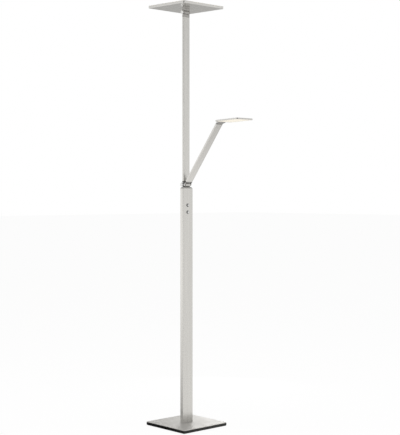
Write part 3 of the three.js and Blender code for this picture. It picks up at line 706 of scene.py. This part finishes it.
def build_cap_and_stem():
    width, depth = LOWER["width"], LOWER["depth"]
    bottom, edge = LOWER["top"] + GAP, LOWER["top"] + 1.1
    bm = bmesh.new()
    sizes = [
        (width, depth, 1.6, bottom),
        (width, depth, 1.6, edge - 0.2),
        (width - 0.25, depth - 0.15, 1.5, edge + 0.05),
    ]
    narrower, thinner = 14, 4
    for share in (0.04, 0.96):
        height = edge + 0.1 + (CAP_TOP - edge) * share
        sloped = (width - 0.3 - narrower * share, depth - 0.2 - thinner * share)
        sizes.append((*sloped, 1.5, height - 0.1 * share))
    sizes += [
        (width - narrower - 0.8, depth - thinner - 0.6, 1.3, CAP_TOP - 0.06),
        (width - narrower - 1.4, depth - thinner - 1.1, 1.1, CAP_TOP),
    ]
    capped(bm, [ring(bm, w, d, r, z) for w, d, r, z in sizes])
    plug(bm, LOWER, LOWER["top"] - PLUG["lower"], bottom + 0.5)
    lug = (LUG["width"], STEM["depth"], 1.0, CAP_TOP - 1, ARM_PIVOT[1] + LUG["above_pivot"])
    for side in (-1, 1):
        slab(bm, *lug, edge=0.6, x=side * LUG["x"], y=STEM["y"])
    piece("post_cap", bm, STAND, "stand", "post_nickel", ["lower_post_cap"])

    bm = bmesh.new()
    radius = ARM_HINGE["radius"]
    lathe(bm, [
        (ARM_HINGE["bore"], BARREL[0]),
        (radius - 0.5, BARREL[0]),
        (radius, BARREL[0] + 0.5),
        (radius, BARREL[1] - 0.5),
        (radius - 0.5, BARREL[1]),
        (ARM_HINGE["bore"], BARREL[1]),
    ], "x", (0, *ARM_PIVOT), 96)
    piece("arm_barrel", bm, STAND, "stand", "post_nickel", ["arm_hinge_barrel"])
    bm = bmesh.new()
    neck = (BARREL[1] - BARREL[0], 2 * ARM_HINGE["neck"], 0.4)
    slab(bm, *neck, CAP_TOP + GAP, ARM_PIVOT[1] - 5, edge=0.3, y=ARM_PIVOT[0])
    # The neck under the barrel is dark steel: a painted shadow in the recess beneath the barrel
    piece("arm_barrel_neck", bm, STAND, "stand", "dark_steel", ["arm_hinge_barrel"])

    bm = bmesh.new()
    top = UPPER["bottom"] - GAP
    slab(bm, STEM["width"], STEM["depth"], 0.6, CAP_TOP + GAP, top - 1, edge=0.4, y=STEM["y"])
    shoulder = (UPPER["width"], UPPER["depth"], UPPER["radius"], top - STEM["shoulder"], top)
    slab(bm, *shoulder, edge=0.4, y=UPPER["y"])
    plug(bm, UPPER, top - 1, top + STEM["plug"], edge=0.4, y=UPPER["y"])
    # The stem between the cap and the upper post is dark steel: painted shade in the gap behind the arm hinge
    piece("folding_stem", bm, STAND, "stand", "dark_steel", ["post_stem"])

    bm = bmesh.new()
    profile = knob_profile(face=24.8, collar_radius=2.8, collar_end=BOLT_FACE, shank_end=5)
    lathe(bm, profile, "-x", (0, STEM["y"], ARM_PIVOT[1]), 192)
    piece("clamp_knob", bm, STAND, "post_clamp_knob", "chrome", ["post_clamp_knob"])


def washers(label, where, body, radius, bore, y, z):
    inner, outer = WASHER
    for side, word in ((-1, "left"), (1, "right")):
        bm = bmesh.new()
        axis = "x" if side > 0 else "-x"
        lathe(bm, [
            (bore, inner),
            (radius - 0.15, inner),
            (radius, inner + 0.12),
            (radius, outer - 0.12),
            (radius - 0.15, outer),
            (bore, outer),
        ], axis, (0, y, z), 48)
        piece(f"{label}_disc_{word}", bm, where, body, "nylon", [f"{label}_washer_{word}"])


def build_upper_post():
    bm = bmesh.new()
    tube(bm, UPPER, UPPER["bottom"], UPPER["top"], UPPER["y"])
    piece("upper_tube", bm, STAND, "stand", "post_nickel", ["upper_post"])
    bm = bmesh.new()
    bottom, top = UPPER["top"] + GAP, TOP_PIVOT[1] - TOP_HINGE["radius"] - 1
    slab(bm, UPPER["width"], UPPER["depth"], UPPER["radius"], bottom, top, edge=0.4, y=UPPER["y"])
    plug(bm, UPPER, UPPER["top"] - PLUG["upper"], bottom + 1, y=UPPER["y"])
    outline = knuckle(TOP_HINGE["radius"], TOP_HINGE["neck"], top - 0.5 - TOP_PIVOT[1])
    prism(bm, outline, *BARREL, *TOP_PIVOT)
    piece("head_barrel", bm, STAND, "stand", "satin_nickel", ["upper_post_top"], 0.35)


# ------------------------------------------------------------------ torchiere head


def ears(bm, hinge, half, reach):
    for side in (-1, 1):
        x_from, x_to = sorted(side * x for x in EAR)
        prism(bm, knuckle(hinge["radius"], half, reach), x_from, x_to)


def pin(bm, radius, head_radius, height, end, side):
    """A pivot bolt along X: its head lies past the ear on that side, its plain end past the other."""
    face = BOLT_FACE
    socket = head_radius * 0.34
    lathe(bm, [
        (0, -end),
        (radius - 0.3, -end),
        (radius, 0.3 - end),
        (radius, face),
        (head_radius - 0.1, face),
        (head_radius, face + 0.15),
        (head_radius, face + height * 0.55),
        (head_radius * 0.95, face + height * 0.8),
        (head_radius * 0.82, face + height * 0.97),
        (head_radius * 0.7, face + height),
        (socket * 1.22, face + height),
        (socket, face + height * 0.95, "hex"),
        (socket, face + height * 0.35, "hex"),
        (0, face + height * 0.3),
    ], "x" if side > 0 else "-x")


def nut(bm, radius, height, bore):
    """A domed nut on +X, closed at its crown."""
    face = BOLT_FACE
    lathe(bm, [
        (0, face + height * 0.5),
        (bore, face + height * 0.5),
        (bore, face),
        (radius - 0.2, face),
        (radius, face + 0.2),
        (radius, face + height * 0.5),
        (radius * 0.95, face + height * 0.68),
        (radius * 0.82, face + height * 0.85),
        (radius * 0.55, face + height * 0.97),
        (0, face + height),
    ], "x")


def build_torchiere_head():
    body, where = "torchiere_head", HEAD_FRAME
    bm = bmesh.new()
    ears(bm, TOP_HINGE, UPPER["depth"] / 2, 12)
    slab(bm, UPPER["width"], UPPER["depth"], 0.8, TOP_HINGE["bridge"], HEAD["under"] - GAP, edge=0.3)
    piece("head_clevis", bm, where, body, "satin_nickel", ["head_bracket"], 0.35)
    bm = bmesh.new()
    pin(bm, TOP_HINGE["bolt"], head_radius=4.6, height=1.2, end=22, side=1)
    piece("head_pin", bm, where, body, "chrome", ["top_pivot_bolt"])
    bm = bmesh.new()
    profile = knob_profile(face=24.6, collar_radius=5, collar_end=BOLT_FACE + 0.1, shank_end=BOLT_FACE)
    lathe(bm, profile, "-x", (0, 0, 0), 192)
    piece("head_knob", bm, where, "torchiere_knob", "chrome", ["torchiere_knob"])

    side, radius, under, top, floor = (HEAD[key] for key in ("side", "radius", "under", "pan_top", "floor"))
    inner = side - 2 * HEAD["wall"]
    bm = bmesh.new()
    outside = low_rim(side, side, radius, under, 0.7, -1) + rim(side, side, radius, top, 0.25, 1)
    inside = [(inner, inner, 3, top), (inner, inner, 3, floor + 0.1), (inner - 0.2, inner - 0.2, 3, floor)]
    capped(bm, [ring(bm, w, d, r, z) for w, d, r, z in outside + inside])
    piece("head_pan", bm, where, body, "head_nickel", ["head_tray"])
    bm = bmesh.new()
    low, high = HEAD["frame"]
    opening = side - 2 * HEAD["lip"]
    outside = low_rim(side, side, radius, low, 0.2, -1) + rim(side, side, radius, high, 0.45, 1)
    inside = [
        (opening + 0.6, opening + 0.6, 2, high),
        (opening, opening, 2, high - 0.3),
        (opening, opening, 2, low),
    ]
    rings = [ring(bm, w, d, r, z) for w, d, r, z in outside + inside]
    strip(bm, rings, closed=True)
    piece("head_bezel", bm, where, body, "head_nickel", ["head_frame"])


# ------------------------------------------------------------------ reading arm and head


def build_reading_arm():
    body, where = "reading_arm", ARM_FRAME
    bm = bmesh.new()
    ears(bm, ARM_HINGE, ARM["depth"] / 2, CLEVIS_TOP - 1)
    piece("arm_fork_ears", bm, where, body, "satin_nickel", ["arm_clevis"], 0.35)
    bm = bmesh.new()
    slab(bm, ARM["width"], ARM["depth"], 0.8, ARM_HINGE["bridge"], CLEVIS_TOP, edge=0.3)
    plug(bm, ARM, CLEVIS_TOP - 0.5, CLEVIS_TOP + PLUG["arm"])
    # The bridge is darker than the ears beside it: painted shade above the barrel
    piece("arm_fork", bm, where, body, "fork_steel", ["arm_clevis"], 0.35)
    bm = bmesh.new()
    pin(bm, ARM_HINGE["bolt"], head_radius=5.6, height=1.4, end=19.9, side=-1)
    piece("arm_pin", bm, where, body, "chrome", ["arm_pivot_bolt"])
    bm = bmesh.new()
    nut(bm, radius=5, height=4, bore=ARM_HINGE["bore"])
    piece("arm_nut", bm, where, body, "chrome", ["arm_pivot_nut"])
    bm = bmesh.new()
    tube(bm, ARM, CLEVIS_TOP + GAP, ARM_TUBE_TOP)
    piece("arm_beam", bm, where, body, "post_nickel", ["arm_tube"])
    bm = bmesh.new()
    slab(bm, ARM["width"], ARM["depth"], ARM["radius"], ARM_TUBE_TOP + GAP, ARM_TIP_TOP, edge=0.3)
    plug(bm, ARM, ARM_TUBE_TOP - PLUG["arm"], ARM_TUBE_TOP + 0.6)
    neck = knuckle(READING_HINGE["radius"], READING_HINGE["neck"], ARM_TIP_TOP - 0.5 - ARM["length"])
    prism(bm, neck, *BARREL, 0, ARM["length"])
    piece("arm_tip", bm, where, body, "satin_nickel", ["arm_end_barrel"], 0.35)


def build_reading_head():
    body, where = "reading_head", READING_FRAME
    bm = bmesh.new()
    ears(bm, READING_HINGE, 3, 7)
    bmesh.ops.rotate(bm, matrix=Matrix.Rotation(math.pi / 2, 3, "X"), verts=bm.verts)
    near, knee, far = -6.5, -11, -18.2
    prism(bm, [(near, -3), (near, 3), (far, 6), (far, 0.6), (knee, -3)], -EAR[1], EAR[1])
    piece("reading_fork", bm, where, body, "satin_nickel", ["reading_bracket"], 0.35)
    bm = bmesh.new()
    pin(bm, READING_HINGE["bolt"], head_radius=4.8, height=1.4, end=19.1, side=-1)
    piece("reading_pin", bm, where, body, "chrome", ["reading_pivot_bolt"])
    bm = bmesh.new()
    nut(bm, radius=4.2, height=3, bore=READING_HINGE["bore"])
    piece("reading_nut", bm, where, body, "chrome", ["reading_pivot_nut"])

    width, length, radius = READING["width"], READING["length"], READING["radius"]
    bottom, top, middle = READING["bottom"], READING["top"], READING["middle"]
    wide, long, round_ = POCKET["width"], POCKET["length"], POCKET["radius"]
    bm = bmesh.new()
    outside = [(*size, middle) for size in rim(width, length, radius, top, 0.7, -1)]
    outside += [(*size, middle) for size in low_rim(width, length, radius, bottom, 0.4, 1)]
    inside = [
        (wide + 0.6, long + 0.6, round_ + 0.2, bottom, POCKET["middle"]),
        (wide, long, round_, bottom + 0.25, POCKET["middle"]),
        (wide, long, round_, POCKET["top"], POCKET["middle"]),
    ]
    rings = [ring(bm, w, d, r, z, y) for w, d, r, z, y in outside + inside]
    strip(bm, rings)
    bm.faces.new(rings[0])
    bm.faces.new(rings[-1])
    piece("reading_pan", bm, where, body, "pan_nickel", ["reading_tray"])
    bm = bmesh.new()
    lens = (wide - 2 * GAP, long - 2 * GAP, round_ - GAP)
    slab(bm, *lens, bottom + 0.15, bottom + 2, edge=0.25, y=POCKET["middle"])
    piece("reading_lens", bm, where, body, "reading_opal", ["reading_diffuser"])


build_base()
build_lower_post()
build_cap_and_stem()
build_upper_post()
build_torchiere_head()
build_reading_arm()
build_reading_head()
washers("arm", STAND, "stand", 5.6, ARM_HINGE["bore"], *ARM_PIVOT)
washers("top", STAND, "stand", 7.2, TOP_HINGE["bore"], *TOP_PIVOT)
washers("reading", ARM_FRAME, "reading_arm", 4.8, READING_HINGE["bore"], 0, ARM["length"])

# ------------------------------------------------------------------ CAD nodes that stay

KEPT = {
    "base_bolt_left": "zinc_steel",
    "base_bolt_right": "zinc_steel",
    "post_foot_block": "zinc_steel",
    "mains_lead": "black_plastic",
    "led_driver": "black_plastic",
    "driver_lead": "black_plastic",
    "dimmer_board": "circuit_board",
    "torchiere_lead": "black_plastic",
    "torchiere_switch": "black_plastic",
    "reading_switch": "black_plastic",
    "barrel_screw": "zinc_steel",
    "head_led_board": "white_board",
    "head_screw_left": "zinc_steel",
    "head_screw_right": "zinc_steel",
    "head_light_guide": "light_guide",
    "head_diffuser": "torchiere_opal",
    "reading_lead": "black_plastic",
    "reading_screw_left": "zinc_steel",
    "reading_screw_right": "zinc_steel",
    "reading_led_board": "white_board",
}

for name, finish in KEPT.items():
    node = nodes[name]
    node.data.materials.clear()
    node.data.materials.append(finishes[finish])
    weld = node.modifiers.new("weld", "WELD")
    weld.merge_threshold = 0.00001
    soften(node, 0.2)
    smooth(node)

# ------------------------------------------------------------------ studio

RIGHT_FRONT = (0.676, -0.737, 0)
LEFT_BACK = (-0.676, 0.737, 0)
BEHIND = (0.676, 0.737, 0)
CAMERA_SIDE = (-0.676, -0.737, 0)
BACK_RIGHT = (0.88, 0.40, 0.25)
RIGHT = (0.944, -0.330, 0)
LOW_BEHIND = (0.66, 0.72, 0.21)


def studio_world():
    """Plain white to the camera. To everything else it is a fitted room, fixed in the world's axes:
    a pale shell that darkens with height, two low side walls, a window at the back, a softbox above
    and a dark side where the photograph's camera stands.
    """
    world = bpy.data.worlds.new("studio")
    scene.world = world
    world.use_nodes = True
    tree = world.node_tree
    tree.nodes.clear()
    add = partial(add_node, tree)
    way = add("ShaderNodeTexCoord").outputs["Generated"]

    def lobe(direction, start, end, low, high):
        """A smooth patch round a direction: low where the angle's cosine is start, high where it is end."""
        return span(tree, dot(tree, way, direction), start, end, low, high, interpolation_type="SMOOTHSTEP")

    def combine(operation, a, b):
        return add("ShaderNodeMath", {0: a, 1: b}, operation=operation).outputs[0]

    height = add("ShaderNodeSeparateXYZ", {0: way}).outputs["Z"]
    rising = partial(span, tree, height)
    left_wall = combine("MULTIPLY", lobe(LEFT_BACK, 0.3, 0.95, 0.0, 0.46), rising(0.0, 0.30, 1.0, 0.0))
    front_wall = combine("MULTIPLY", lobe(RIGHT_FRONT, 0.3, 0.95, 0.0, 0.30), rising(0.02, 0.34, 1.0, 0.0))
    window = lobe(BACK_RIGHT, 0.55, 0.97, 0.0, 0.25)
    softbox_above = lobe((0, 0, 1), 0.88, 0.97, 0.0, 0.9)
    dark_side = lobe(CAMERA_SIDE, 0.70, 0.88, 1.0, 0.05)
    shell = rising(0.28, 0.65, 0.50, 0.20)
    behind = lobe(LOW_BEHIND, 0.90, 0.985, 1.0, 1.06)
    walls = combine("ADD", combine("ADD", left_wall, front_wall), combine("ADD", window, softbox_above))
    strength = combine("MULTIPLY", combine("ADD", shell, walls), combine("MULTIPLY", dark_side, behind))
    room = add("ShaderNodeBackground", {"Color": (1.0, 0.995, 0.98, 1), "Strength": strength})
    white = add("ShaderNodeBackground", {"Color": (1, 1, 1, 1), "Strength": 1.0})
    camera_ray = add("ShaderNodeLightPath").outputs["Is Camera Ray"]
    shader = add("ShaderNodeMixShader", {0: camera_ray, 1: room.outputs[0], 2: white.outputs[0]})
    add("ShaderNodeOutputWorld", {"Surface": shader.outputs[0]})


def studio_floor():
    """Plain white to the camera, with a faint shadow under the base. Reflections don't see that floor: they
    see painted light, a level fitted to the metal by direction and distance from the base, dimmed close round
    the base as a painted shadow.
    """
    bm = bmesh.new()
    bmesh.ops.create_grid(bm, x_segments=1, y_segments=1, size=40)
    mesh = bpy.data.meshes.new("floor")
    bm.to_mesh(mesh)
    bm.free()
    floor = bpy.data.objects.new("floor", mesh)
    scene.collection.objects.link(floor)
    floor.location.z = -0.0005  # just under the rubber pad
    material = bpy.data.materials.new("floor")
    material.use_nodes = True
    tree = material.node_tree
    tree.nodes.clear()
    add = partial(add_node, tree)
    where = add("ShaderNodeTexCoord").outputs["Object"]
    way = add("ShaderNodeVectorMath", {0: where}, operation="NORMALIZE").outputs[0]
    reach = add("ShaderNodeVectorMath", {0: where}, operation="LENGTH").outputs["Value"]
    log_reach = add("ShaderNodeMath", {0: reach, 1: math.e}, operation="LOGARITHM").outputs[0]

    def toward(direction, start, end):
        """0 where the angle between the floor's place and a direction has the cosine start, 1 at end."""
        return span(tree, dot(tree, way, direction), start, end, interpolation_type="SMOOTHSTEP")

    def blend(amount, a, b):
        return add("ShaderNodeMix", {0: amount, 2: a, 3: b}, data_type="FLOAT").outputs[0]

    # On the left side the level is painted dim near the base and rises with the log of the distance; within
    # 0.24 m of the base it is dimmed again: a painted shadow round the base, seen only in the metal
    left = span(tree, log_reach, -2.2, 2.0, 0.155, 0.96)
    painted_shade_near_base = span(tree, reach, 0.15, 0.24, 0.35, 1.0)
    left = add("ShaderNodeMath", {0: left, 1: painted_shade_near_base}, operation="MULTIPLY").outputs[0]
    sides = blend(toward(RIGHT_FRONT, -0.5, 0.5), left, 0.78)
    near_right = span(tree, reach, 1.0, 1.4, 0.88, 0.56)
    sides = blend(toward(RIGHT, 0.93, 0.985), sides, near_right)
    level = blend(toward(BEHIND, 0.5, 0.95), sides, 0.42)
    seen_in_metal = add("ShaderNodeEmission", {"Color": (1.0, 0.99, 0.97, 1), "Strength": level})
    lit = add("ShaderNodeBsdfDiffuse", {"Color": (0.9, 0.9, 0.9, 1)})
    white = add("ShaderNodeEmission", {"Color": (1, 1, 1, 1), "Strength": 1.04})
    paper = add("ShaderNodeMixShader", {0: 0.1, 1: white.outputs[0], 2: lit.outputs[0]})
    camera_ray = add("ShaderNodeLightPath").outputs["Is Camera Ray"]
    shader = add("ShaderNodeMixShader", {0: camera_ray, 1: seen_in_metal.outputs[0], 2: paper.outputs[0]})
    add("ShaderNodeOutputMaterial", {"Surface": shader.outputs[0]})
    mesh.materials.append(material)


def softbox(name, place, target, size, power, mirrored=False):
    """A soft light. It shades the matte pieces, and metal mirrors it only where asked."""
    light = bpy.data.lights.new(name, "AREA")
    light.shape = "RECTANGLE"
    light.size, light.size_y = size
    light.energy = power
    obj = bpy.data.objects.new(name, light)
    scene.collection.objects.link(obj)
    obj.location = place
    obj.rotation_euler = (Vector(target) - Vector(place)).to_track_quat("-Z", "Y").to_euler()
    obj.visible_camera = False
    obj.visible_glossy = mirrored


studio_world()
studio_floor()
softbox("key", (3.4, -3.6, 2.6), (0, 0, 0.9), (1.6, 2.4), 40)
softbox("overhead", (-0.6, 0.4, 3.6), (0, 0, 1.0), (1.8, 1.8), 25)
softbox("low_window", (0.95, 0.72, 0.30), (0, 0, 0.05), (0.4, 0.4), 0.9, mirrored=True)

# ------------------------------------------------------------------ camera

CAMERA_HEIGHT = 1.0078
CAMERA_PLACE = (-3.127, -3.500, CAMERA_HEIGHT)
SIGHT = Vector((0.6756, 0.7373, 0))

camera_data = bpy.data.cameras.new("camera")
camera_data.lens = 88.9
camera_data.sensor_width = 36
camera_data.shift_y = -0.0529
camera = bpy.data.objects.new("camera", camera_data)
scene.collection.objects.link(camera)
camera.location = CAMERA_PLACE
camera.rotation_euler = SIGHT.to_track_quat("-Z", "Y").to_euler()
scene.camera = camera

scene.view_settings.view_transform = "Standard"
scene.view_settings.look = "None"
